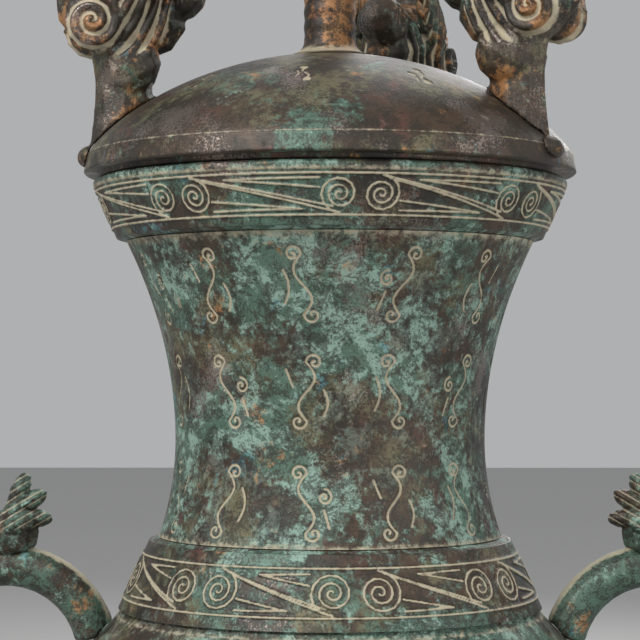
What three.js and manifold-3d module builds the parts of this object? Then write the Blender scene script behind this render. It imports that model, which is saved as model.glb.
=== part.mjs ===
// Lidded bronze wine vase of the hu form: a round belly on a foot ring, a tall waisted neck with a
// slanted collar, two loop handles with crested beast heads, and a lift-off lid that carries three
// standing birds round a central column with a conical cap.
// Millimetres, +Z up, origin at the centre of the foot ring's underside. The handles lie along X,
// and the front of the vase faces -Y.
import * as THREE from 'three';
import { mergeVertices } from 'three/addons/utils/BufferGeometryUtils.js';
import Module from 'manifold-3d';

const wasm = await Module();
wasm.setup();

// Fits between separately cast pieces
const solderGap = 0.3;
const tenonClearance = 0.8;

// Foot ring
const footRadius = 80;
const footWall = 6;
const footBandHeight = 9;
const footStep = 2.5;
const footRecess = 24;
const ankleRadius = 68;
const ankleHeight = 27;

// Belly and shoulder
const bodyWall = 4;
const floorHeight = 31;
const bellyRadius = 104;
const bellyHeight = 92;
const shoulderSoftness = 28;
const shoulderRadius = 66.4;
const shoulderHeight = 153.4;

// Lower ornament band
const lowerBandFootRadius = 67.4;
const lowerBandHeight = 21.3;
const lowerBandTopRadius = 57.7;
const lowerBandFootHeight = 154.2;

// Neck and collar
const neckFootRadius = 54.6;
const waistRadius = 49.4;
const waistHeight = 207;
const neckTopRadius = 64.9;
const collarFootRadius = 68.2;
const collarFootHeight = 271.2;
const collarStep = 1.2;
const lipRadius = 75;
const collarHeight = 18.5;
const lipBead = 1.6;
const mouthRadius = 68;
const mouthDepth = 10;

// Lid
const lidShadowGap = 1.9;
const lidRadius = 78.6;
const lidRimHeight = 6;
const lidRimDraft = 1.3;
const lidRise = 32.6;
const domeFullness = 0.8;
const lidWall = 4.2;
const seatInset = 4.6;
const tenonDepth = 8.7;
const tenonWall = 3;
const lidCornerHeight = 12.4;

// Column and its cap
const columnRadius = 8.3;
const columnFlare = 4.5;
const columnHeight = 37;
const capRadius = 14.5;
const capHeight = 15;
const capUndercut = 2.5;

// Birds on the lid
const birdAngles = [187.5, 330, 67.5];
const birdRadius = 66;
const birdLegWaist = 9.2;
const birdWaistHeight = 22;
const birdBodyHeight = 45.5;
const birdBodyLength = 21.5;
const birdBodyWidth = 13.5;
const birdBodyDepth = 15.5;
const birdHeadHeight = 73;
const birdHeadReach = 13;
const wingRise = 17;
const clawRadius = 4.6;

// Handles
const handleReach = 103.4;
const handleHeight = 137.8;
const handleLoopRadius = 29;
const handleThickness = 12.6;
const handleWidth = 13.4;
const handleStart = 168;
const handleEnd = -116;

// Beast heads on the handles
const beastSkull = 8.4;
const beastSnout = 6;
const beastLift = 8.2;
const crestHeight = 23.5;
const crestLobes = 3;

// Facets round the axis, along curves and round small forms
const turns = 48;
const vesselTurns = 32;
const smallTurns = 16;
const curveSteps = 5;
const vesselCurveSteps = 4;
const handleSteps = 26;
const handleSides = 5;
const blobTurns = 8;
const blobRings = 6;

const lipHeight = collarFootHeight + collarHeight;
const rimTop = lipHeight + lidShadowGap + lidRimHeight;
const creaseRadius = lidRadius - lidRimDraft;
const degree = Math.PI / 180;

const finishes = {
  body: { color: 0x4f6a55, roughness: 0.62, metalness: 0.55 },
  lid: { color: 0x4a4436, roughness: 0.58, metalness: 0.6 },
  column: { color: 0x7a5a3a, roughness: 0.7, metalness: 0.45 },
  figures: { color: 0x566154, roughness: 0.6, metalness: 0.5 },
  handles: { color: 0x3f5a54, roughness: 0.6, metalness: 0.55 },
};

// A closed solid from a geometry, with its shared corners merged and its collapsed faces left out.
function solid(geometry) {
  const bare = geometry.index ? geometry.clone() : geometry;
  bare.deleteAttribute('normal');
  bare.deleteAttribute('uv');
  const merged = mergeVertices(bare, 1e-4);
  const kept = [];
  for (let i = 0; i < merged.index.count; i += 3) {
    const [a, b, c] = [0, 1, 2].map((k) => merged.index.getX(i + k));
    if (a !== b && b !== c && a !== c) {
      kept.push(a, b, c);
    }
  }
  return new wasm.Manifold(new wasm.Mesh({
    numProp: 3,
    vertProperties: new Float32Array(merged.attributes.position.array),
    triVerts: new Uint32Array(kept),
  }));
}

function meshOf(name, body, finish) {
  const shape = body.getMesh();
  const geometry = new THREE.BufferGeometry();
  geometry.setAttribute('position', new THREE.BufferAttribute(shape.vertProperties, 3));
  geometry.setIndex(new THREE.BufferAttribute(shape.triVerts, 1));
  geometry.computeVertexNormals();
  const mesh = new THREE.Mesh(geometry, new THREE.MeshStandardMaterial(finishes[finish]));
  mesh.name = name;
  return mesh;
}

function joined(bodies) {
  return bodies.reduce((all, body) => all.add(body));
}

// A turned body: its outline runs up the outside, starting and ending on the axis.
function turned(points, segments) {
  return solid(new THREE.LatheGeometry(points, segments).rotateX(Math.PI / 2));
}

// An egg-shaped mass with its own three half sizes, tilted about Y, then about Z, and moved.
function mass(center, halves, tilt = 0, swing = 0) {
  const ball = new THREE.SphereGeometry(1, blobTurns, blobRings).rotateX(Math.PI / 2);
  ball.scale(...halves);
  ball.rotateY(-tilt * degree);
  ball.rotateZ(swing * degree);
  ball.translate(...center);
  return solid(ball);
}

// Height of the lid's outer dome above the rim's crease, at a given distance from the axis.
function domeRise(radius, reach, rise) {
  return rise * (1 - (radius / reach) ** 2) ** domeFullness;
}

// The outside of the vessel, from the foot's lower edge to the lip. grow moves it outwards.
function vesselOutside(grow) {
  const outside = new THREE.Path();
  const at = (radius, height) => [radius + grow, height];
  outside.moveTo(...at(footRadius, 0));
  outside.lineTo(...at(footRadius, footBandHeight));
  outside.lineTo(...at(footRadius - footStep, footBandHeight));
  outside.quadraticCurveTo(...at(ankleRadius, footBandHeight + footStep), ...at(ankleRadius, ankleHeight));
  outside.bezierCurveTo(
    ...at(bellyRadius - shoulderSoftness / 2, ankleHeight + footWall),
    ...at(bellyRadius, bellyHeight - shoulderSoftness),
    ...at(bellyRadius, bellyHeight),
  );
  outside.bezierCurveTo(
    ...at(bellyRadius, bellyHeight + shoulderSoftness),
    ...at(shoulderRadius + shoulderSoftness / 2, shoulderHeight - shoulderSoftness * 0.6),
    ...at(shoulderRadius, shoulderHeight),
  );
  outside.lineTo(...at(lowerBandFootRadius, lowerBandFootHeight));
  outside.lineTo(...at(lowerBandTopRadius, lowerBandFootHeight + lowerBandHeight));
  outside.lineTo(...at(neckFootRadius, lowerBandFootHeight + lowerBandHeight + collarStep));
  const neckFootHeight = lowerBandFootHeight + lowerBandHeight + collarStep;
  outside.quadraticCurveTo(
    ...at(waistRadius, (neckFootHeight + waistHeight) / 2),
    ...at(waistRadius, waistHeight),
  );
  outside.quadraticCurveTo(
    ...at(waistRadius, (collarFootHeight - collarStep + waistHeight) / 2),
    ...at(neckTopRadius, collarFootHeight - collarStep),
  );
  outside.lineTo(...at(collarFootRadius, collarFootHeight));
  outside.lineTo(...at(lipRadius, lipHeight - 2 * lipBead));
  outside.quadraticCurveTo(...at(lipRadius + lipBead / 2, lipHeight), ...at(lipRadius - lipBead, lipHeight));
  return outside.getPoints(vesselCurveSteps);
}

// The hollow inside, from the mouth down to the middle of the floor.
function vesselInside() {
  const inside = new THREE.Path();
  inside.moveTo(mouthRadius, lipHeight);
  inside.lineTo(mouthRadius, lipHeight - mouthDepth);
  inside.lineTo(neckTopRadius - bodyWall, collarFootHeight - 2 * bodyWall);
  inside.quadraticCurveTo(
    waistRadius - bodyWall, (collarFootHeight - 2 * bodyWall + waistHeight) / 2,
    waistRadius - bodyWall, waistHeight,
  );
  inside.quadraticCurveTo(
    waistRadius - bodyWall, (shoulderHeight + waistHeight) / 2 + bodyWall,
    lowerBandTopRadius - 2 * bodyWall, lowerBandFootHeight + lowerBandHeight / 2,
  );
  inside.lineTo(shoulderRadius - bodyWall, shoulderHeight - bodyWall);
  inside.bezierCurveTo(
    shoulderRadius + shoulderSoftness / 2 - bodyWall, shoulderHeight - shoulderSoftness * 0.6 - bodyWall,
    bellyRadius - bodyWall, bellyHeight + shoulderSoftness - bodyWall,
    bellyRadius - bodyWall, bellyHeight,
  );
  inside.bezierCurveTo(
    bellyRadius - bodyWall, bellyHeight - shoulderSoftness,
    bellyRadius - shoulderSoftness / 2 - bodyWall, floorHeight + bodyWall,
    ankleRadius - bodyWall, floorHeight,
  );
  inside.lineTo(0, floorHeight);
  return inside.getPoints(vesselCurveSteps);
}

function vesselBody() {
  const underside = [
    new THREE.Vector2(0, footRecess),
    new THREE.Vector2(footRadius - 2 * footWall, footRecess),
    new THREE.Vector2(footRadius - footWall, 0),
  ];
  return turned([...underside, ...vesselOutside(0), ...vesselInside()], vesselTurns);
}

// The vessel's outer form as one full solid, for cutting the roots of what is soldered to it.
function vesselForm(grow) {
  const outside = vesselOutside(grow);
  return turned([new THREE.Vector2(0, 0), ...outside, new THREE.Vector2(0, lipHeight)], vesselTurns);
}

// The lid's outside, from the rim's lower edge over the dome to the axis.
function lidOutside(grow) {
  const steps = 2 * curveSteps;
  const points = [
    new THREE.Vector2(lidRadius + grow, lipHeight + lidShadowGap - grow),
    new THREE.Vector2(creaseRadius + grow, rimTop + grow),
  ];
  for (let i = 1; i <= steps; i += 1) {
    const radius = creaseRadius * Math.cos((i / steps) * 90 * degree);
    const kept = i < steps ? radius : 0;
    const rise = domeRise(kept, creaseRadius, lidRise);
    points.push(new THREE.Vector2(kept > 0 ? kept + grow : 0, rimTop + rise + grow));
  }
  return points;
}

// The lid's underside: the seat that rests just above the lip, the tenon that goes into the
// mouth, and the hollow of the dome.
function lidUnderside() {
  const tenonRadius = mouthRadius - tenonClearance;
  const hollowRadius = tenonRadius - tenonWall;
  const hollowRise = rimTop + lidRise - lidWall - lipHeight - lidCornerHeight;
  const points = [];
  for (let i = 0; i <= curveSteps; i += 1) {
    const radius = hollowRadius * Math.sin((i / curveSteps) * 90 * degree);
    points.push(new THREE.Vector2(
      radius,
      lipHeight + lidCornerHeight + domeRise(Math.min(radius, hollowRadius), hollowRadius, hollowRise),
    ));
  }
  points.push(new THREE.Vector2(hollowRadius, lipHeight - tenonDepth));
  points.push(new THREE.Vector2(tenonRadius, lipHeight - tenonDepth));
  points.push(new THREE.Vector2(tenonRadius, lipHeight + solderGap));
  points.push(new THREE.Vector2(lidRadius - seatInset, lipHeight + solderGap));
  points.push(new THREE.Vector2(lidRadius - seatInset, lipHeight + lidShadowGap));
  return points;
}

function lidCover() {
  return turned([...lidUnderside(), ...lidOutside(0)], turns);
}

function lidForm(grow) {
  const base = new THREE.Vector2(0, lipHeight + lidShadowGap - grow);
  return turned([base, ...lidOutside(grow)], turns);
}

// The plain round post in the middle of the lid, with a flared foot cut to the dome.
function lidColumn() {
  const apex = rimTop + lidRise;
  const post = new THREE.Path();
  post.moveTo(0, apex - columnFlare);
  post.lineTo(columnRadius + columnFlare, apex - columnFlare);
  post.quadraticCurveTo(columnRadius, apex, columnRadius, apex + columnFlare);
  post.lineTo(columnRadius, apex + columnHeight);
  post.lineTo(0, apex + columnHeight);
  return turned(post.getPoints(curveSteps), smallTurns).subtract(lidForm(solderGap));
}

// The conical cap on the column, with an undercut edge that fingers can hold.
function columnCap() {
  const seat = rimTop + lidRise + columnHeight;
  const cap = new THREE.Path();
  cap.moveTo(0, seat);
  cap.lineTo(columnRadius + capUndercut / 2, seat);
  cap.lineTo(capRadius, seat + capUndercut);
  cap.lineTo(capRadius, seat + 2 * capUndercut);
  cap.quadraticCurveTo(capRadius * 0.7, seat + capHeight * 0.7, capUndercut, seat + capHeight);
  cap.quadraticCurveTo(capUndercut / 2, seat + capHeight + capUndercut / 2, 0, seat + capHeight + capUndercut / 2);
  return turned(cap.getPoints(curveSteps), smallTurns);
}

// A bird that stands at the lid's edge and faces outwards along +X: two joined legs on a claw pad
// that grips the rim, a round body, raised wings swept back to the column, a tail, neck and head.
function bird() {
  const rim = rimTop;
  const waist = rim + birdWaistHeight;
  const middle = rim + birdBodyHeight;
  const head = rim + birdHeadHeight;
  const legs = new THREE.Path();
  legs.moveTo(0, rim - lidRimHeight);
  legs.lineTo(birdLegWaist * 1.35, rim - lidRimHeight);
  legs.quadraticCurveTo(birdLegWaist, rim + birdLegWaist, birdLegWaist, waist);
  legs.quadraticCurveTo(birdLegWaist, waist + birdLegWaist / 2, birdLegWaist * 1.35, middle - birdLegWaist / 2);
  legs.lineTo(0, middle);
  const pedestal = solid(new THREE.LatheGeometry(legs.getPoints(curveSteps), blobTurns)
    .rotateX(Math.PI / 2).scale(1, 0.86, 1).translate(birdRadius, 0, 0));
  const pieces = [
    pedestal,
    mass([birdRadius - 4, 0, rim + birdLegWaist], [15, birdLegWaist, 7.5], -32),
    mass([birdRadius + 1, 0, middle], [birdBodyLength, birdBodyWidth, birdBodyDepth], 14),
    mass([birdRadius - birdBodyLength + 3, 0, middle + 6], [8, 9, 9], 30),
    mass([birdRadius + birdHeadReach - 2, 0, (middle + head) / 2 + 2], [7, 6.4, 16], -12),
    mass([birdRadius + birdHeadReach, 0, head], [8, 6, 6.4], 6),
    mass([birdRadius + birdHeadReach + 9, 0, head - 2], [7, 2.6, 2.8], -18),
    mass([lidRadius - clawRadius / 2, 0, rim - 1], [clawRadius, birdLegWaist * 0.8, clawRadius * 0.85]),
  ];
  for (const side of [-1, 1]) {
    pieces.push(mass(
      [birdRadius - 1, side * (birdBodyWidth - 1.5), middle + wingRise / 3],
      [birdBodyLength, 3.6, 8], -38, side * -6,
    ));
    pieces.push(mass([birdRadius + 10, side * birdBodyWidth * 0.72, middle - 5], [9.5, 6.4, 9.5]));
    pieces.push(mass([birdRadius - 2, side * birdLegWaist * 0.6, waist + 6], [10, 6.2, 9], -30));
  }
  return joined(pieces).subtract(lidForm(solderGap));
}

// The line that a handle follows in the XZ plane, up from the shoulder, out, and back to the belly.
class LoopLine extends THREE.Curve {
  getPoint(share, target = new THREE.Vector3()) {
    const angle = (handleStart + (handleEnd - handleStart) * share) * degree;
    return target.set(
      handleReach + handleLoopRadius * Math.cos(angle),
      0,
      handleHeight + handleLoopRadius * Math.sin(angle),
    );
  }
}

function handleBar(grow) {
  const section = new THREE.Shape();
  section.absellipse(0, 0, handleThickness / 2 + grow, handleWidth / 2 + grow, 0, 2 * Math.PI);
  return solid(new THREE.ExtrudeGeometry(section, {
    steps: handleSteps,
    curveSegments: handleSides,
    extrudePath: new LoopLine(),
  }));
}

function handleLoop() {
  return handleBar(0).subtract(vesselForm(solderGap));
}

// A beast's head that sits astride the top of a handle, looking outwards, with round eyes and a
// crest of curled lobes that leans back towards the neck.
function beastHead() {
  const top = handleHeight + handleLoopRadius + handleThickness / 2;
  const pieces = [
    mass([handleReach, 0, top + beastLift - 5], [beastSkull + 2, beastSkull, beastSkull], -8),
    mass([handleReach + beastSkull + 2, 0, top + 1], [beastSnout * 1.7, beastSnout, beastSnout], -28),
    mass(
      [handleReach + beastSkull + beastSnout + 4, 0, top - 1],
      [beastSnout * 0.7, beastSnout * 0.9, beastSnout * 0.6],
    ),
    mass([handleReach - 3, 0, top + beastLift + 3], [4.2, 4.6, 7], 14),
  ];
  for (const side of [-1, 1]) {
    pieces.push(mass([handleReach + 4, side * beastSkull * 0.72, top + beastLift - 2], [2.8, 2.4, 2.8]));
    pieces.push(mass([handleReach - 5, side * beastSkull * 0.9, top + beastLift], [5.6, 2, 3.4], -24, side * 20));
  }
  for (let i = 0; i < crestLobes; i += 1) {
    const lean = 24 + 34 * i;
    const reach = crestHeight / 2;
    pieces.push(mass(
      [
        handleReach - 1 - reach * 0.62 * Math.sin(lean * degree),
        0,
        top + beastLift + 1 + reach * 0.78 * Math.cos(lean * degree),
      ],
      [3.1, 4.4 - 0.4 * i, 6.4], lean,
    ));
  }
  return joined(pieces).subtract(handleBar(solderGap));
}

const vase = new THREE.Group();
const vessel = new THREE.Group();
vessel.add(meshOf('vessel_body', vesselBody(), 'body'));
for (const [side, angle] of [['right', 0], ['left', Math.PI]]) {
  const handle = new THREE.Group();
  handle.add(meshOf(`handle_loop_${side}`, handleLoop(), 'handles'));
  handle.add(meshOf(`handle_beast_${side}`, beastHead(), 'handles'));
  handle.rotation.z = angle;
  vessel.add(handle);
}
vase.add(vessel);

const lid = new THREE.Group();
lid.add(meshOf('lid_cover', lidCover(), 'lid'));
lid.add(meshOf('lid_column', lidColumn(), 'column'));
lid.add(meshOf('column_cap', columnCap(), 'column'));
for (const [place, angle] of [['left', 0], ['right', 1], ['rear', 2]]) {
  const figure = meshOf(`lid_bird_${place}`, bird(), 'figures');
  figure.rotation.z = birdAngles[angle] * degree;
  lid.add(figure);
}
vase.add(lid);

export default vase;
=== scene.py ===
import math

import bpy
import numpy as np
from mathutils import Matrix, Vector


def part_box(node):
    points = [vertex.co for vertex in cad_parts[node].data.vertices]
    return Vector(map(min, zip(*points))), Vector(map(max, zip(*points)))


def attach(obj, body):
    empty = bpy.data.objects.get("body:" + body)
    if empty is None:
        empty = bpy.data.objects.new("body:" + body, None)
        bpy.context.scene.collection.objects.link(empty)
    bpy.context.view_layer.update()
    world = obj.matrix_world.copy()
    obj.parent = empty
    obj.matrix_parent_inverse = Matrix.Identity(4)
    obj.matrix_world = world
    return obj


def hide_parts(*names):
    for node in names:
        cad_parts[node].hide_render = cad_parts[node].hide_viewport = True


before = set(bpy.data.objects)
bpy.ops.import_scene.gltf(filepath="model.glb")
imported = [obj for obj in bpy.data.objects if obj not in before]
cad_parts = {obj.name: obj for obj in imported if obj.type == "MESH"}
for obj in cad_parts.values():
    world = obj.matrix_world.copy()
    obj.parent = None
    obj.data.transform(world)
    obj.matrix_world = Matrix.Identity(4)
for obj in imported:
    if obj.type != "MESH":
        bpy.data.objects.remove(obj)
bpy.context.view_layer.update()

MM = 0.001
TAU = 2 * math.pi

# Camera: the photograph's eye point, and its frame's focal length in pixels of a 640 pixel frame
FRAME_PIXELS = 640
FOCAL_PIXELS = 2010
AXIS_PIXEL = 330
HORIZON_PIXEL = 368
EYE_DISTANCE = 0.645
EYE_HEIGHT = 0.230
SENSOR = 36

# The vessel's outline, in millimetres: (radius, height)
FOOT = (80, 9)
ANKLE = (68, 27)
BELLY = (104, 92)
SHOULDER = (66.4, 153.4)
BAND_FOOT = (67.4, 154.2)
BAND_TOP = (57.7, 175.5)
NECK_FOOT = (54.6, 176.7)
WAIST = (49.4, 207)
NECK_TOP = (64.9, 270)
COLLAR_FOOT = (68.2, 271.2)
COLLAR_TOP = (75, 286.5)
LIP_EDGE = (75.5, 287)
LIP_HEIGHT = 289.7
LIP_INSIDE = 73.4
SOFTNESS = 28
FOOT_LEDGE = 2.5
FOOT_FACE = 6

# The vessel's inside, the hollow under its floor, and the radius that stands for the axis
MOUTH_RADIUS = 68
MOUTH_DEPTH = 10
INNER_NECK_TOP = (60.9, 263)
INNER_WAIST = (45.4, 207)
INNER_NECK_FOOT = (49.7, 165)
INNER_SHOULDER = (62.4, 149.4)
INNER_BELLY = (100, 92)
INNER_FLOOR = (64, 31)
FOOT_HOLLOW = 24
NEAR_AXIS = 0.01

# How thick a skin with ornament is, and how far the shell is drawn in under it
SKIN = 1.4
DRAWN_IN = SKIN * 0.9

# The lid's outline
LID_RADIUS = 78.6
CREASE_RADIUS = 77.3
RIM_FOOT = 291.6
RIM_TOP = 297.6
LID_RISE = 32.6
DOME_FULLNESS = 0.8
DOME_STEPS = 110
TENON_OUTSIDE = 67.2
TENON_INSIDE = 64.2
TENON_FOOT = 281
TENON_TOP = 300
SEAT_RADIUS = 74
SEAT_HEIGHT = 290
INNER_DOME_FOOT = 302.1
INNER_DOME_RISE = 16

# Ornament of the bands: volutes, slanted lines in pairs, and fans of lines between them
BAND_UNITS = 8
FIRST_PAIR = math.radians(-90 + 7)
VOLUTE_SHARE = 0.9
VOLUTE_TURNS = 2.6
LINE_PAIR = 1.9
FAN_START = 1.9
FAN_LEVEL = 0.72
FAN_RISES = (0.9 * 0.86, 0.35 * 0.86)
RIDGE_HALF = 0.33
RIDGE_HEIGHT = 0.45
EDGE_ROW = 0.02
FAR_AWAY = 1e3

# Ornament of the neck and lid: upright scrolls, drawn in millimetres at size 1
GROOVE_HALF = 0.33
GROOVE_DEPTH = 0.55
STEM_HEIGHT = 14.4
STEM_SWAY = 2.08
CURL_RADIUS = 2.1
SCROLL_SIZE = 1.22
SCROLL_ROWS = (254.5, 223, 190)
SCROLL_COLUMNS = 12
SCROLL_TURN = math.radians(-98)

LID_SCROLLS = 9
LID_SCROLL_REACH = 52
LID_SCROLL_SIZE = 0.62
LID_GROOVE_SHARE = 0.8

# Birds: places round the lid in degrees, then (reach, height) of wing root, neck and thigh, pitches and lifts
BIRD_ANGLES = {"lid_bird_left": 187.5, "lid_bird_right": 330, "lid_bird_rear": 67.5}
WING_ROOT = (76.5, 338)
WING_SWEEP = math.radians(142)
WING_FOOT = 326
BIRD_NECK = (64, 352)
BIRD_THIGH = (66, 331)
COIL_RADIUS = 11
COIL_PITCH = 4.4
COIL_LIFT = 0.95
FEATHER_PITCH = 4.6
FEATHER_LIFT = 0.85
SCALE_PITCH = (3.8, 3.4)
SCALE_LIFT = 0.22

# Handles: (reach, height) of a loop's centre and where its outer edge begins, its bead, and the crest's ribs
LOOP_CENTER = (103.4, 137.8)
LOOP_EDGE = 33
BEAD_HALF = 2.4
BEAD_LIFT = 0.5
CREST_FOOT = 176
CREST_PITCH = 2.6
CREST_LIFT = 0.14

# Post and cap: the cap's outline is (radius, height over its foot)
POST_RADIUS = 8.3
POST_FOOT = 5
CAP_UNDER = (9.5, 0)
CAP_FLANGE = (14.5, 2.5)
CAP_EDGE = (14.5, 5)
CAP_KNOB = (2.4, 15)
WHORL_RIBS = 6
WHORL_TWIST = 0.55
WHORL_LIFT = 0.5


class Flow:
    """One shader socket, with the arithmetic that the patina needs."""

    def __init__(self, tree, socket):
        self.tree = tree
        self.socket = socket

    def make(self, kind, settings=None, out=0, **sockets):
        """A node of a kind: its settings first, then the values or links of its sockets by name or place."""
        node = self.tree.nodes.new(kind)
        for key, value in (settings or {}).items():
            setattr(node, key, value)
        for key, value in sockets.items():
            name = int(key[1:]) if key[0] == "s" and key[1:].isdigit() else key.replace("_", " ")
            if isinstance(value, Flow):
                self.tree.links.new(value.socket, node.inputs[name])
            else:
                node.inputs[name].default_value = value
        return Flow(self.tree, node.outputs[out])

    def maths(self, operation, first, second=0.0):
        return self.make("ShaderNodeMath", {"operation": operation}, s0=first, s1=second)

    def __add__(self, other):
        return self.maths("ADD", self, other)

    __radd__ = __add__

    def __mul__(self, other):
        return self.maths("MULTIPLY", self, other)

    __rmul__ = __mul__

    def __sub__(self, other):
        return self.maths("SUBTRACT", self, other)

    def __rsub__(self, other):
        return self.maths("SUBTRACT", other, self)

    def between(self, low, high):
        """0 below low, 1 above high, smooth between."""
        settings = {"interpolation_type": "SMOOTHSTEP"}
        return self.make("ShaderNodeMapRange", settings, Value=self, From_Min=low, From_Max=high)


def rgb(red, green, blue):
    return (red, green, blue, 1)


BROWN_BLACK = rgb(0.024, 0.021, 0.016)
UMBER = rgb(0.070, 0.045, 0.028)
CUPRITE = rgb(0.105, 0.045, 0.033)
OLIVE = rgb(0.150, 0.138, 0.075)
MALACHITE = rgb(0.085, 0.155, 0.115)
TURQUOISE = rgb(0.270, 0.400, 0.330)
AZURITE = rgb(0.030, 0.190, 0.250)
CREAM = rgb(0.470, 0.410, 0.290)
EARTH = rgb(0.400, 0.190, 0.070)
WORN_METAL = rgb(0.500, 0.420, 0.380)


def patina(name, green, pale, earth, olive, red, cream):
    """Layers of corrosion over dark bronze: each colour is a cloud of noise at its own scale, and an
    attribute on the mesh
    adds cream: deposit in grooves, on ridges and along steps, and a painted highlight along the lid's crease."""
    material = bpy.data.materials.new(name)
    material.use_nodes = True
    tree = material.node_tree
    shader = tree.nodes["Principled BSDF"]
    seat = Flow(tree, None)
    position = seat.make("ShaderNodeTexCoord", out="Object")

    def cloud(scale, detail, rough, shift=0.0, warp=0.0):
        moved = seat.make("ShaderNodeMapping", Vector=position, Location=(shift, shift * 0.7, -shift))
        return seat.make("ShaderNodeTexNoise", {"noise_dimensions": "3D"}, Vector=moved, Scale=scale,
                         Detail=detail, Roughness=rough, Distortion=warp)

    base = cloud(38, 8, 0.65).between(0.38, 0.62)
    fine = cloud(420, 6, 0.7, 3.1)
    grain = cloud(1500, 3, 0.6, 1.7)
    colour = seat.make("ShaderNodeMix", {"data_type": "RGBA"}, out=2, s0=base, s6=BROWN_BLACK, s7=UMBER)

    def layer(tint, mask):
        return seat.make("ShaderNodeMix", {"data_type": "RGBA"}, out=2, s0=mask, s6=colour, s7=tint)

    speckle = fine * 0.45

    def patches(spots, low, high):
        """Where a cloud, roughened by fine speckle, is over its threshold."""
        return (spots + speckle - 0.22).between(low, high)

    reds = patches(cloud(62, 7, 0.6, 5.2), 0.62 - 0.12 * red, 0.72 - 0.1 * red)
    colour = layer(CUPRITE, reds * 0.85)
    olives = patches(cloud(46, 7, 0.6, 9.4), 0.60 - 0.14 * olive, 0.72 - 0.12 * olive)
    colour = layer(OLIVE, olives * 0.8)
    greens = patches(cloud(34, 8, 0.62, 2.2, 0.4), 0.60 - 0.20 * green, 0.70 - 0.18 * green)
    colour = layer(MALACHITE, greens * 0.92)
    pales = patches(cloud(95, 9, 0.68, 7.7, 0.6), 0.62 - 0.13 * pale, 0.70 - 0.12 * pale)
    colour = layer(TURQUOISE, pales * 0.8 * (0.25 + greens * 0.75))
    colour = layer(AZURITE, patches(cloud(55, 6, 0.6, 13.3), 0.64, 0.72) * 0.55)
    soils = patches(cloud(70, 7, 0.6, 17.5), 0.66 - 0.22 * earth, 0.74 - 0.2 * earth)
    colour = layer(EARTH, soils * 0.8)
    dust = cloud(190, 10, 0.75, 27.0, 0.8)
    colour = layer(BROWN_BLACK, (dust + (grain - 0.5) * 0.5).between(0.53, 0.44) * 0.72)
    colour = layer(TURQUOISE, (dust + (fine - 0.5) * 0.6).between(0.60, 0.70) * greens * 0.6)
    # Cream from the mesh attribute: deposit in hollows and along steps, and a painted highlight along the
    # lid's crease.
    deposit_and_highlight = seat.make("ShaderNodeAttribute", {"attribute_name": "deposit_and_highlight"}, out="Fac")
    cream_mask = (deposit_and_highlight * 1.35 - 0.25 + (fine - 0.5) * 1.4).between(0.25, 0.75)
    colour = layer(CREAM, cream_mask * cream)
    worn = (cloud(48, 4, 0.5, 21.0) + (grain - 0.5) * 0.5).between(0.58, 0.72)
    sheen = worn * (1 - cream_mask) * (1 - greens * 0.8)
    colour = layer(WORN_METAL, sheen * 0.35)
    tree.links.new(colour.socket, shader.inputs["Base Color"])
    roughness = 0.30 + fine * 0.35 + pales * 0.12 - sheen * 0.16 + cream_mask * 0.2
    tree.links.new(roughness.socket, shader.inputs["Roughness"])
    metallic = 0.30 + sheen * 0.5 - cream_mask * 0.25 - pales * 0.2
    tree.links.new(metallic.socket, shader.inputs["Metallic"])
    relief = fine * 0.6 + grain * 0.25 + pales * 0.25 + cream_mask * 0.2
    bump = seat.make("ShaderNodeBump", Height=relief, Strength=0.55, Distance=0.0007)
    tree.links.new(bump.socket, shader.inputs["Normal"])
    return material


def mesh_object(name, points, faces, material, smooth=True, deposit_and_highlight=None):
    """Puts computed points (in millimetres) and quads into a mesh object at the origin."""
    mesh = bpy.data.meshes.new(name)
    mesh.vertices.add(len(points))
    mesh.vertices.foreach_set("co", (points * MM).astype(np.float32).ravel())
    sides = faces.shape[1]
    mesh.loops.add(faces.size)
    mesh.loops.foreach_set("vertex_index", faces.astype(np.int32).ravel())
    mesh.polygons.add(len(faces))
    mesh.polygons.foreach_set("loop_start", np.arange(0, faces.size, sides, dtype=np.int32))
    mesh.polygons.foreach_set("use_smooth", np.full(len(faces), smooth))
    mesh.update(calc_edges=True)
    mesh.validate()
    if deposit_and_highlight is not None:
        layer = mesh.attributes.new("deposit_and_highlight", "FLOAT", "POINT")
        layer.data.foreach_set("value", deposit_and_highlight.astype(np.float32).ravel())
    mesh.materials.append(material)
    thing = bpy.data.objects.new(name, mesh)
    bpy.context.scene.collection.objects.link(thing)
    return thing


def bezier(points, count):
    """Points along a Bezier curve of any degree, from its control points, by repeated mixing."""
    t = np.linspace(0, 1, count)[:, None]
    rows = [np.asarray(p, float) * np.ones((count, 1)) for p in points]
    while len(rows) > 1:
        rows = [a * (1 - t) + b * t for a, b in zip(rows, rows[1:])]
    return rows[0]


def straight(start, end, count):
    return bezier([start, end], count)


def ring_faces(rows, columns):
    """Quads of a grid that closes both round the axis and along its outline."""
    i, j = np.meshgrid(np.arange(rows), np.arange(columns), indexing="ij")
    row, below = i * columns, (i + 1) % rows * columns
    right = (j + 1) % columns
    return np.stack([row + j, row + right, below + right, below + j], -1).reshape(-1, 4)


def spun(outline, columns):
    """A body of revolution: each outline point (radius, height) turned round the axis."""
    angle = np.arange(columns) * TAU / columns
    radius, height = outline[:, :1], outline[:, 1:]
    x, y = radius * np.cos(angle), radius * np.sin(angle)
    return np.stack([x, y, height + 0 * x], -1).reshape(-1, 3)


def ramp(value, start, width):
    """0 before the start, then rising evenly to 1 over the width. A negative width rises the other way."""
    return np.clip((value - start) / width, 0, 1)


def hump(value, level, spread):
    """1 at the level, fading to nothing on both sides of it."""
    return np.exp(-((value - level) / spread) ** 2)


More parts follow.
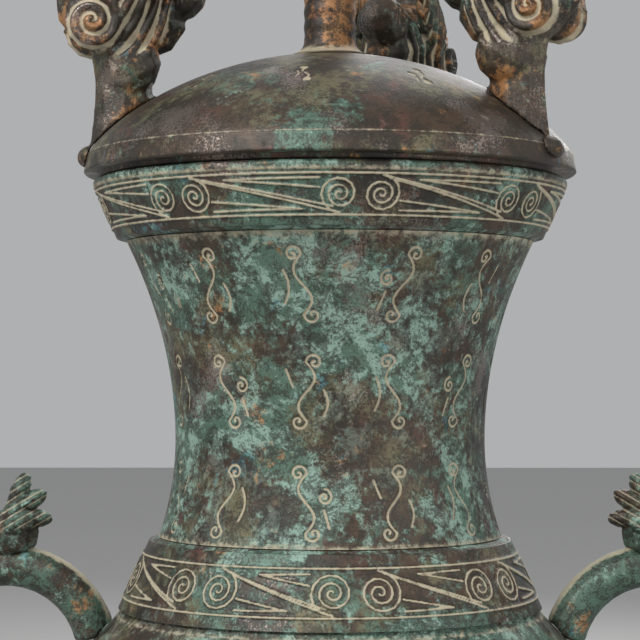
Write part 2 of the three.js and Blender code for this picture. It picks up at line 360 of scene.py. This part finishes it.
def stroke_distance(u, v, strokes):
    """Least distance from each point (u, v) to the straight pieces of the strokes, in millimetres."""
    best = np.full(u.shape, FAR_AWAY)
    for stroke in strokes:
        for (ax, ay), (bx, by) in zip(stroke[:-1], stroke[1:]):
            dx, dy = bx - ax, by - ay
            square = max(dx * dx + dy * dy, 1e-9)
            share = np.clip(((u - ax) * dx + (v - ay) * dy) / square, 0, 1)
            best = np.minimum(best, np.hypot(u - ax - share * dx, v - ay - share * dy))
    return best


def rounded(distance, half):
    """1 on a line, falling along a round shoulder to 0 at about twice its half width."""
    near = np.clip(1.5 - 0.75 * distance / half, 0, 1)
    return near ** 2 * (3 - 2 * near)


def volute(center, radius, start, turns, hand):
    """A spiral that winds in at a steady rate from its outer end to its centre."""
    t = np.linspace(0, 1, 34)
    angle = start + hand * TAU * turns * t
    reach = radius * (1 - 0.93 * t)
    return np.stack([center[0] + reach * np.cos(angle), center[1] + reach * np.sin(angle)], -1)


def band_strokes(pitch, half):
    """One repeat of the band: a pair of outward volutes at its middle, slanted double lines that run from
    the top of the right volute down to the foot of the next pair, fans of lines beside them, and the frame
    lines."""
    reach = half * VOLUTE_SHARE
    gap = reach + 0.25
    far = pitch - gap
    strokes = [
        volute((-gap, 0), reach, -TAU / 4, VOLUTE_TURNS, -1),
        volute((gap, 0), reach, TAU / 4, VOLUTE_TURNS, -1),
        volute((far, 0), reach, -TAU / 4, VOLUTE_TURNS, -1),
        volute((gap - pitch, 0), reach, TAU / 4, VOLUTE_TURNS, -1),
    ]
    for shift in (0, -pitch):
        left, right = gap + shift, far + shift
        for drop in (0, LINE_PAIR):
            start = (left + drop, reach - drop * 0.45)
            end = (right - LINE_PAIR + drop, -reach + LINE_PAIR - drop)
            strokes.append(np.array([start, end]))
        for rise in FAN_RISES:
            start = (left + reach * FAN_START, half * FAN_LEVEL)
            strokes.append(np.array([start, (right - reach, half * rise)]))
        for rise in FAN_RISES:
            start = (right - reach * FAN_START, -half * FAN_LEVEL)
            strokes.append(np.array([start, (left + reach, -half * rise)]))
    for level in (-half, half):
        strokes.append(np.array([(-pitch, level), (pitch, level)]))
    return strokes


def skin_points(r, height, angle, back):
    """Points of a closed ring: the rows of its relief surface, then one row at its top and one at its foot
    that lie deeper, at the two back radii."""
    radii = np.concatenate([r, np.outer(back, np.ones(len(angle)))])
    levels = np.append(height, (height[-1], height[0]))[:, None]
    return np.stack([radii * np.cos(angle), radii * np.sin(angle), levels + 0 * radii], -1).reshape(-1, 3)


def band_skin(name, low, high, margin_low, margin_high, material, columns=1440, rows=66):
    """A slanted ornament band: the outline runs from low to high, and the relief of one repeat, worked out as
    the distance to its strokes, stands out from it. A back wall closes the ring inside the vessel."""
    length = math.hypot(high[0] - low[0], high[1] - low[1])
    along = np.linspace(0, 1, rows)
    along[[1, -2]] = EDGE_ROW / length, 1 - EDGE_ROW / length
    radius = low[0] + (high[0] - low[0]) * along
    height = low[1] + (high[1] - low[1]) * along
    middle = (margin_low + length - margin_high) / 2
    half = (length - margin_low - margin_high) / 2
    angle = np.arange(columns) * TAU / columns
    pitch = TAU * radius.mean() / BAND_UNITS
    share = ((angle[:columns // BAND_UNITS] - FIRST_PAIR) / TAU * BAND_UNITS + 0.5) % 1 - 0.5
    u, v = np.meshgrid(share * pitch, along * length - middle)
    line = stroke_distance(u, v, band_strokes(pitch, half))
    raised = np.tile(rounded(line, RIDGE_HALF), (1, BAND_UNITS))
    edge = np.minimum(along, 1 - along)[:, None] * length
    r = radius[:, None] + raised * RIDGE_HEIGHT * ramp(edge, 0, 0.8)
    points = skin_points(r, height, angle, (high[0] - SKIN, low[0] - SKIN))
    deposit_and_highlight = np.concatenate([raised * 0.72, np.zeros((2, columns))])
    return mesh_object(name, points, ring_faces(rows + 2, columns), material, deposit_and_highlight=deposit_and_highlight)


def scroll_strokes(kind):
    """An upright scroll: an S that ends in two curls, with a hook or a comma beside it. Its kind turns it
    about and chooses what stands beside it."""
    t = np.linspace(0, 1, 22)
    hand = 1 if kind % 2 else -1
    stem = np.stack([hand * STEM_SWAY * np.sin(TAU * t), STEM_HEIGHT * (0.5 - t)], -1)
    (top_x, top_y), (foot_x, foot_y) = stem[0], stem[-1]
    right, left = (math.pi, 0) if hand > 0 else (0, math.pi)
    strokes = [
        stem,
        volute((top_x + hand * CURL_RADIUS, top_y), CURL_RADIUS, right, 1.3, -hand),
        volute((foot_x - hand * CURL_RADIUS, foot_y), CURL_RADIUS, left, 1.1, -hand),
    ]
    if kind % 3 == 0:
        strokes.append(np.stack([4.6 * hand + 1.2 * np.sin(math.pi * t), 3.4 - 8 * t], -1))
    elif kind % 3 == 1:
        strokes.append(volute((-4.4 * hand, 1.5), 2.0, TAU / 4, 1.5, hand))
        strokes.append(np.stack([-4.4 * hand - 1.5 * hand * t, -1.6 - 4.4 * t], -1))
    else:
        strokes.append(np.stack([-5.0 * hand + 1.6 * hand * t, 5.4 - 4.2 * t], -1))
        strokes.append(np.stack([4.2 * hand + hand * np.sin(math.pi * t), 0.5 - 6.4 * t], -1))
    return strokes


def scroll_line(radius, height, angle, rows, count, size):
    """Distance of each point of a skin to the scrolls set round it in rows."""
    best = np.full((len(height), len(angle)), FAR_AWAY)
    for row, level in enumerate(rows):
        near = np.abs(height - level) < 12 * size
        if not near.any():
            continue
        for number in range(count):
            center = SCROLL_TURN + TAU * number / count
            away = (angle - center + math.pi) % TAU - math.pi
            local = np.abs(away) < 9 * size / radius[near].min()
            u = away[local][None, :] * radius[near][:, None] / size
            v = ((height[near] - level) / size)[:, None] + 0 * u
            found = stroke_distance(u, v, scroll_strokes(row * 5 + number)) * size
            patch = np.ix_(near, local)
            best[patch] = np.minimum(best[patch], found)
    return best


def neck_outline(count):
    """The neck's two parabolas, from its foot through the waist to its top."""
    lower = bezier([NECK_FOOT, (WAIST[0], (NECK_FOOT[1] + WAIST[1]) / 2), WAIST], count // 3)
    upper = bezier([WAIST, (WAIST[0], (NECK_TOP[1] + WAIST[1]) / 2), NECK_TOP], count - count // 3)
    return np.concatenate([lower, upper[1:]])


def neck_skin(name, low, high, material, columns=900, rows=105):
    """One third of the waisted neck, with the scrolls sunk into it as grooves. Its radius is read off the
    neck's outline at each height."""
    outline = neck_outline(200)
    height = np.linspace(low, high, rows)
    height[[1, -2]] = low + EDGE_ROW, high - EDGE_ROW
    radius = np.interp(height, outline[:, 1], outline[:, 0])
    angle = np.arange(columns) * TAU / columns
    line = scroll_line(radius, height, angle, SCROLL_ROWS, SCROLL_COLUMNS, SCROLL_SIZE)
    sunk = rounded(line, GROOVE_HALF)
    cream_mask = ramp(height, NECK_TOP[1] - 6, 6) + ramp(height, NECK_FOOT[1] + 4, -4)
    r = radius[:, None] - sunk * GROOVE_DEPTH
    points = skin_points(r, height, angle, (radius[-1] - 2 * SKIN, radius[0] - 2 * SKIN))
    deposit_and_highlight = np.concatenate([np.maximum(sunk * 0.85, 0.62 * cream_mask[:, None]), np.zeros((2, columns))])
    return mesh_object(name, points, ring_faces(rows + 2, columns), material, deposit_and_highlight=deposit_and_highlight)


def drawn_in(point):
    """A point of the outline, moved in to lie under a skin."""
    return (point[0] - DRAWN_IN, point[1])


def vessel_shell(material, columns=360):
    """The whole casting as one closed turned shell. Its outline is straight and Bezier stretches, out under
    the foot, up the outside and down the inside. Where a skin with ornament lies on it, it is drawn in."""
    ledge = (FOOT[0] - FOOT_LEDGE, FOOT[1])
    standing = (FOOT[0] - FOOT_FACE, 0)
    hollow = (FOOT[0] - 2 * FOOT_FACE, FOOT_HOLLOW)
    parts = [
        straight((NEAR_AXIS, FOOT_HOLLOW), hollow, 6),
        straight(hollow, standing, 8)[1:],
        straight(standing, (FOOT[0], 0), 3)[1:],
        straight((FOOT[0], 0.3), FOOT, 6)[1:],
        straight(FOOT, ledge, 3)[1:],
        bezier([ledge, (ANKLE[0], FOOT[1] + 2.5), ANKLE], 16)[1:],
        bezier([ANKLE, (BELLY[0] - SOFTNESS / 2, ANKLE[1] + 6),
                (BELLY[0], BELLY[1] - SOFTNESS), BELLY], 34)[1:],
        bezier([BELLY, (BELLY[0], BELLY[1] + SOFTNESS),
                (SHOULDER[0] + SOFTNESS / 2, SHOULDER[1] - SOFTNESS * 0.6), SHOULDER], 34)[1:],
        straight(SHOULDER, drawn_in(BAND_FOOT), 3)[1:],
        straight(drawn_in(BAND_FOOT), drawn_in(BAND_TOP), 8)[1:],
        neck_outline(40) - (DRAWN_IN, 0),
        straight(drawn_in(COLLAR_FOOT), drawn_in(COLLAR_TOP), 8),
        straight(COLLAR_TOP, LIP_EDGE, 3),
        bezier([LIP_EDGE, (LIP_EDGE[0] + 0.9, LIP_HEIGHT), (LIP_INSIDE, LIP_HEIGHT)], 8)[1:],
        straight((LIP_INSIDE, LIP_HEIGHT), (MOUTH_RADIUS, LIP_HEIGHT), 4)[1:],
        straight((MOUTH_RADIUS, LIP_HEIGHT), (MOUTH_RADIUS, LIP_HEIGHT - MOUTH_DEPTH), 4)[1:],
        bezier([INNER_NECK_TOP, (INNER_WAIST[0], 235), INNER_WAIST], 18),
        bezier([INNER_WAIST, (INNER_WAIST[0], 184), INNER_NECK_FOOT], 10)[1:],
        bezier([INNER_SHOULDER, (76.4, 132), (INNER_BELLY[0], 116), INNER_BELLY], 22),
        bezier([INNER_BELLY, (INNER_BELLY[0], 64), (86, 35), INNER_FLOOR], 22)[1:],
        straight(INNER_FLOOR, (NEAR_AXIS, INNER_FLOOR[1]), 8)[1:],
    ]
    outline = np.concatenate(parts)
    radius, height = outline.T
    below_band = 0.55 * hump(height, 152, 1.6)
    under_lip = 0.6 * hump(height, LIP_EDGE[1], 1.4) * (radius > 74)
    deposit_and_highlight = np.repeat(np.clip(below_band + under_lip, 0, 1), columns)
    return mesh_object("vessel_shell", spun(outline, columns), ring_faces(len(outline), columns), material,
                       deposit_and_highlight=deposit_and_highlight)


def lid_shell(material, columns=600):
    """The lid as one closed turned shell: tenon, seat, rim and dome, with small scrolls sunk into the dome.
    The dome rises as (1 - (r/R) squared) to the power of its fullness."""
    def dome(radius, reach, rise, base):
        return base + rise * (1 - np.clip(radius / reach, 0, 1) ** 2) ** DOME_FULLNESS

    inner = TENON_INSIDE * np.sin(np.linspace(0.0002, 1, 20) * math.pi / 2)
    outer = CREASE_RADIUS * np.cos(np.linspace(0, 0.9998, DOME_STEPS) * math.pi / 2)
    outline = np.concatenate([
        np.stack([inner, dome(inner, TENON_INSIDE, INNER_DOME_RISE, INNER_DOME_FOOT)], -1),
        straight((TENON_INSIDE, TENON_TOP), (TENON_INSIDE, TENON_FOOT), 6),
        straight((TENON_OUTSIDE, TENON_FOOT), (TENON_OUTSIDE, SEAT_HEIGHT), 5),
        straight((SEAT_RADIUS, SEAT_HEIGHT), (SEAT_RADIUS, RIM_FOOT), 3),
        straight((LID_RADIUS - 0.4, RIM_FOOT), (LID_RADIUS, RIM_FOOT + 0.4), 3),
        straight((LID_RADIUS, RIM_FOOT + 0.6), (CREASE_RADIUS + 0.3, RIM_TOP - 0.3), 10),
        np.stack([outer, dome(outer, CREASE_RADIUS, LID_RISE, RIM_TOP)], -1),
    ])
    angle = np.arange(columns) * TAU / columns
    radius, height = outline[:, :1], outline[:, 1:]
    line = np.full((len(outline), columns), FAR_AWAY)
    line[-DOME_STEPS:] = scroll_line(np.maximum(outer, 20), -outer, angle, (-LID_SCROLL_REACH,),
                                     LID_SCROLLS, LID_SCROLL_SIZE)
    sunk = rounded(line, GROOVE_HALF * LID_GROOVE_SHARE)
    z = height - sunk * GROOVE_DEPTH * LID_GROOVE_SHARE
    points = np.stack([radius * np.cos(angle), radius * np.sin(angle), z], -1).reshape(-1, 3)
    # A cream line along the crease between rim and dome: a painted highlight, not a deposit.
    crease_highlight = hump(height, RIM_TOP, 0.5) * (radius > 76)
    deposit_and_highlight = np.maximum(sunk * 0.9, crease_highlight * 0.55)
    return mesh_object("lid_shell", points, ring_faces(len(outline), columns), material, deposit_and_highlight=deposit_and_highlight)


def softened(node, voxel, rounds):
    """Points, normals and quads of a CAD node's copy, merged, remeshed to small even faces and smoothed."""
    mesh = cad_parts[node].data.copy()
    work = bpy.data.objects.new(f"{node}_work", mesh)
    bpy.context.scene.collection.objects.link(work)
    weld = work.modifiers.new("weld", "WELD")
    weld.merge_threshold = 0.00002
    remesh = work.modifiers.new("remesh", "REMESH")
    remesh.mode = "VOXEL"
    remesh.voxel_size = voxel * MM
    smooth = work.modifiers.new("smooth", "SMOOTH")
    smooth.factor = 0.6
    smooth.iterations = rounds
    done = work.evaluated_get(bpy.context.evaluated_depsgraph_get()).to_mesh()
    points = np.empty(len(done.vertices) * 3, np.float32)
    normals = np.empty(len(done.vertices) * 3, np.float32)
    done.vertices.foreach_get("co", points)
    done.vertex_normals.foreach_get("vector", normals)
    quads = np.array([tuple(p.vertices) for p in done.polygons], np.int32)
    bpy.data.objects.remove(work)
    return points.reshape(-1, 3).astype(float) / MM, normals.reshape(-1, 3).astype(float), quads


def bird(node, angle, material):
    """A standing bird: the node's form softened, then its wing root wound with a spiral ridge and its wing
    ribbed with feathers that sweep up and back. Ridge height follows the sine of the distance across them."""
    points, normals, quads = softened(node, 0.55, 7)
    turn = math.radians(-angle)
    out = points[:, 0] * math.cos(turn) - points[:, 1] * math.sin(turn)
    side = np.abs(points[:, 0] * math.sin(turn) + points[:, 1] * math.cos(turn))
    height = points[:, 2]
    rx, rz = out - WING_ROOT[0], height - WING_ROOT[1]
    reach, around = np.hypot(rx, rz), np.arctan2(rz, rx)
    flank = ramp(side, 5, 4)
    coil = ramp(reach, COIL_RADIUS, -3) * flank
    spiral = np.sin(TAU * reach / COIL_PITCH + around)
    across = rx * -math.sin(WING_SWEEP) + rz * math.cos(WING_SWEEP)
    forth = rx * math.cos(WING_SWEEP) + rz * math.sin(WING_SWEEP)
    feathers = np.sin(TAU * (across + 0.02 * forth ** 2) / FEATHER_PITCH)
    wing = ramp(reach, COIL_RADIUS - 3, 3) * flank * ramp(forth, -4, 4) * ramp(height, WING_FOOT, 5)
    scales = np.sin(TAU * height / SCALE_PITCH[1]) * np.sin(TAU * out / SCALE_PITCH[0])
    neck = ramp(height, BIRD_NECK[1], 6) * (1 - coil) * ramp(out, BIRD_NECK[0], 6)
    lift = COIL_LIFT * spiral * coil + FEATHER_LIFT * feathers * wing + SCALE_LIFT * scales * neck
    moved = points + normals * lift[:, None]
    hollow = np.clip(-(spiral * coil + feathers * wing), 0, 1) * 0.85
    seam = 0.4 * hump(height, BIRD_THIGH[1] - (out - BIRD_THIGH[0]) * 0.2, 4)
    return mesh_object(f"{node}_figure", moved, quads, material, deposit_and_highlight=np.clip(hollow + seam, 0, 1))


def beast(node, material):
    """A crested head: the node's form softened, with fine ribs across its crest and cheeks. Rib height is the
    sine of the height plus a share of the distance out from the vase's middle."""
    points, normals, quads = softened(node, 0.4, 4)
    ribs = np.sin(TAU * (points[:, 2] + np.abs(points[:, 0]) * 0.6) / CREST_PITCH)
    upper = ramp(points[:, 2], CREST_FOOT, 4)
    moved = points + normals * (CREST_LIFT * ribs * upper)[:, None]
    return mesh_object(f"{node}_head", moved, quads, material, deposit_and_highlight=np.clip(-ribs * upper, 0, 1) * 0.7)


def handle(node, material):
    """A loop handle: the node's bar softened, with a raised bead along its outer edge, whose height is a bell
    curve across the bar."""
    points, normals, quads = softened(node, 0.8, 5)
    sign = 1 if points[:, 0].mean() > 0 else -1
    reach = np.hypot(points[:, 0] * sign - LOOP_CENTER[0], points[:, 2] - LOOP_CENTER[1])
    outer = ramp(reach, LOOP_EDGE, 2)
    bead = hump(points[:, 1], 0, BEAD_HALF) * outer
    moved = points + normals * (BEAD_LIFT * bead)[:, None]
    deposit_and_highlight = np.clip(bead * 0.8 + outer * 0.35, 0, 1)
    return mesh_object(f"{node}_bar", moved, quads, material, deposit_and_highlight=deposit_and_highlight)


def column(material, columns=96):
    """The post, turned, with a skin of low rings: its radius follows the sine of the height."""
    low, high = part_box("lid_column")
    base, top = low.z / MM, high.z / MM
    foot_top = (POST_RADIUS, base + POST_FOOT)
    foot = bezier([(12.6, base + 0.4), (8.6, base + 1.6), foot_top], 10)
    post = straight(foot_top, (POST_RADIUS, top), 40)[1:]
    post[:, 0] += 0.12 * np.sin(post[:, 1] * 1.3)
    outline = np.concatenate([[(NEAR_AXIS, base + 0.4)], foot, post, [(NEAR_AXIS, top)]])
    deposit_and_highlight = np.repeat(ramp(outline[:, 1], base + POST_FOOT, -POST_FOOT), columns)
    return mesh_object("column_post", spun(outline, columns), ring_faces(len(outline), columns), material,
                       deposit_and_highlight=deposit_and_highlight)


def cap(material, columns=220):
    """The conical cap, turned, with a whorl of curved ribs raised on its slope: the sine of a multiple of the
    angle plus a share of the radius, which bends the ribs."""
    low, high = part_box("column_cap")
    base, top = low.z / MM, high.z / MM

    def over(point):
        return (point[0], base + point[1])

    under = straight(over(CAP_UNDER), over(CAP_FLANGE), 6)[1:]
    edge = straight(over(CAP_FLANGE), over(CAP_EDGE), 6)[1:]
    slope = bezier([over(CAP_EDGE), over((10.2, 10.5)), over(CAP_KNOB)], 60)[1:]
    knob = bezier([over(CAP_KNOB), (1.2, top), (NEAR_AXIS, top)], 8)[1:]
    outline = np.concatenate([[(NEAR_AXIS, base), over(CAP_UNDER)], under, edge, slope, knob])
    angle = np.arange(columns) * TAU / columns
    radius, height = outline[:, :1], outline[:, 1:]
    on_slope = ramp(radius, 13.6, -1.2) * ramp(radius, 3, 1.5) * (height > base + CAP_EDGE[1])
    whorl = np.sin(WHORL_RIBS * angle + radius * WHORL_TWIST) * on_slope
    z = height + WHORL_LIFT * whorl
    points = np.stack([radius * np.cos(angle), radius * np.sin(angle), z], -1).reshape(-1, 3)
    return mesh_object("column_cap_whorl", points, ring_faces(len(outline), columns), material,
                       deposit_and_highlight=np.clip(-whorl, 0, 1) * 0.8)


def place(thing, body, slot, *nodes):
    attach(thing, body)
    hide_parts(*nodes)


body_bronze = patina("body_bronze", green=0.8, pale=1.1, earth=0.1, olive=0.85, red=0.6, cream=0.9)
band_bronze = patina("band_bronze", green=0.6, pale=0.6, earth=0.05, olive=0.7, red=0.6, cream=0.9)
lid_bronze = patina("lid_bronze", green=0.15, pale=0.05, earth=0.1, olive=0.75, red=0.55, cream=0.8)
figure_bronze = patina("figure_bronze", green=0.35, pale=0.2, earth=0.6, olive=0.5, red=0.4, cream=0.85)
column_bronze = patina("column_bronze", green=0.1, pale=0.1, earth=0.95, olive=0.6, red=0.8, cream=0.7)
handle_bronze = patina("handle_bronze", green=0.95, pale=0.35, earth=0.15, olive=0.4, red=0.2, cream=0.75)

for thing in (
    vessel_shell(body_bronze),
    band_skin("collar_band", COLLAR_FOOT, COLLAR_TOP, 3.0, 1.0, band_bronze),
    band_skin("lower_band", BAND_FOOT, BAND_TOP, 4.2, 4.2, band_bronze),
    neck_skin("neck_low", NECK_FOOT[1], 207, body_bronze),
    neck_skin("neck_middle", 207, 239, body_bronze),
    neck_skin("neck_high", 239, NECK_TOP[1], body_bronze),
):
    place(thing, "vessel", "body_bronze", "vessel_body")
place(lid_shell(lid_bronze), "lid", "lid_bronze", "lid_cover")
place(column(column_bronze), "lid", "column_bronze", "lid_column")
place(cap(column_bronze), "lid", "column_bronze", "column_cap")
for node, angle in BIRD_ANGLES.items():
    place(bird(node, angle, figure_bronze), "lid", "figure_bronze", node)
for side in ("left", "right"):
    place(handle(f"handle_loop_{side}", handle_bronze), "vessel", "handle_bronze", f"handle_loop_{side}")
    place(beast(f"handle_beast_{side}", handle_bronze), "vessel", "handle_bronze", f"handle_beast_{side}")


def plain(name, colour, rough=0.9):
    """An even, matt tone."""
    material = bpy.data.materials.new(name)
    material.use_nodes = True
    shader = material.node_tree.nodes["Principled BSDF"]
    shader.inputs["Base Color"].default_value = colour
    shader.inputs["Roughness"].default_value = rough
    return material


def stage():
    """A wide floor that the foot stands on."""
    size = 4000.0
    corners = np.array([(-size, -size, 0), (size, -size, 0), (size, size, 0), (-size, size, 0)])
    pale = plain("floor_pale", rgb(0.50, 0.50, 0.49))
    floor = mesh_object("floor", corners, np.array([[0, 1, 2, 3]]), pale, False)
    world = bpy.data.worlds.new("studio")
    bpy.context.scene.world = world
    world.use_nodes = True
    background = world.node_tree.nodes["Background"]
    background.inputs["Color"].default_value = rgb(0.78, 0.79, 0.80)
    background.inputs["Strength"].default_value = 0.55


def lamp(name, spot, aim, size, power):
    light = bpy.data.lights.new(name, "AREA")
    light.size = size
    light.energy = power
    thing = bpy.data.objects.new(name, light)
    thing.location = spot
    thing.rotation_euler = (Vector(aim) - Vector(spot)).to_track_quat("-Z", "Y").to_euler()
    bpy.context.scene.collection.objects.link(thing)


def camera():
    """Level with the horizon pixel and turned to the axis pixel."""
    data = bpy.data.cameras.new("camera")
    data.sensor_width = SENSOR
    data.lens = SENSOR * FOCAL_PIXELS / FRAME_PIXELS
    data.clip_start = 0.05
    thing = bpy.data.objects.new("camera", data)
    thing.location = (0, -EYE_DISTANCE, EYE_HEIGHT)
    pitch = math.atan((HORIZON_PIXEL - FRAME_PIXELS / 2) / FOCAL_PIXELS)
    yaw = math.atan((AXIS_PIXEL - FRAME_PIXELS / 2) / FOCAL_PIXELS)
    thing.rotation_euler = (math.pi / 2 + pitch, 0, yaw)
    bpy.context.scene.collection.objects.link(thing)
    bpy.context.scene.camera = thing


stage()
lamp("key", (-0.55, -0.75, 0.95), (0, 0, 0.22), 0.5, 12)
lamp("fill", (0.95, -0.7, 0.45), (0, 0, 0.22), 0.8, 5)
lamp("back", (0.3, 0.9, 0.8), (0, 0, 0.25), 0.7, 5)
camera()
bpy.context.scene.view_settings.view_transform = "Standard"
